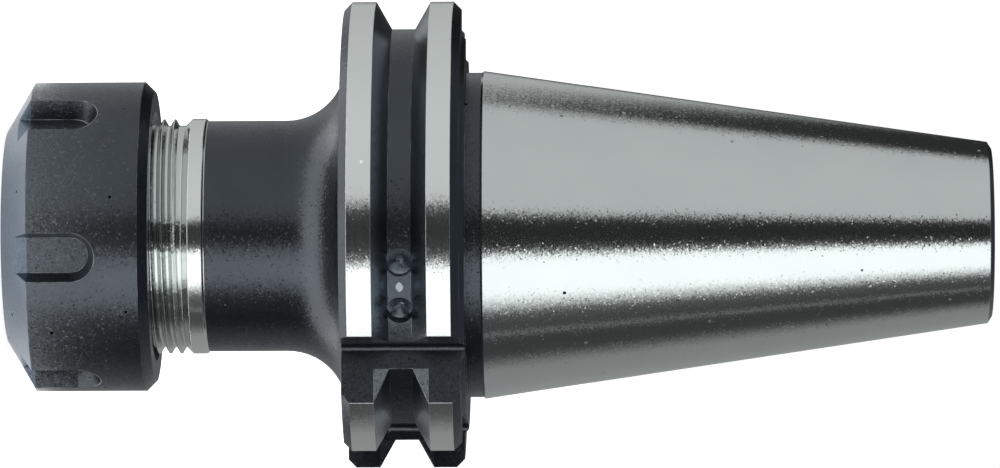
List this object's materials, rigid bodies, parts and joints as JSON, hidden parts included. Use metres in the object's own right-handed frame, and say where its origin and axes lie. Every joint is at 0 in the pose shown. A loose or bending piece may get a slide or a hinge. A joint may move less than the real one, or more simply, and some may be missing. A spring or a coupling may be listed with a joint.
{
  "type": "collet chuck holder",
  "caption": "Steel tool holder: 7:24 no. 40 taper shank, V-grooved gripper flange with keyways and notch, neck, spring collet and slotted clamping nut that screws on.",
  "frame": {"origin": "centre of the clamping nut's front face, on the tool axis, with the nut screwed home", "axes": "+Z from the nut along the tool axis to the small end of the taper; +X through the keyway beside the orientation notch; the notch is on the +X, -Y side"},
  "size_m": [0.0614, 0.0636, 0.1334],
  "materials": {
    "holder_steel": "case-hardened steel, black oxide with ground taper, flange lands and collar",
    "nut_steel": "steel, black oxide, bright rear face",
    "collet_steel": "ground spring steel"
  },
  "bodies": {
    "holder": {"holder_body": "holder_steel"},
    "collet": {"collet": "collet_steel"},
    "nut": {"clamping_nut": "nut_steel"}
  },
  "joints": [
    {"name": "collet_draw", "type": "slide", "parent": "holder", "child": "collet", "axis": [0, 0, -1], "range_m": [0, 0.01126]},
    {"name": "nut_turn", "type": "hinge", "parent": "collet", "child": "nut", "pos_m": [0, 0, 0.01], "axis": [0, 0, -1], "range_deg": [0, 2700]}
  ],
  "couplings": [
    {"joint": "collet_draw", "follows": "nut_turn", "m_per_rad": 0.00023873}
  ]
}
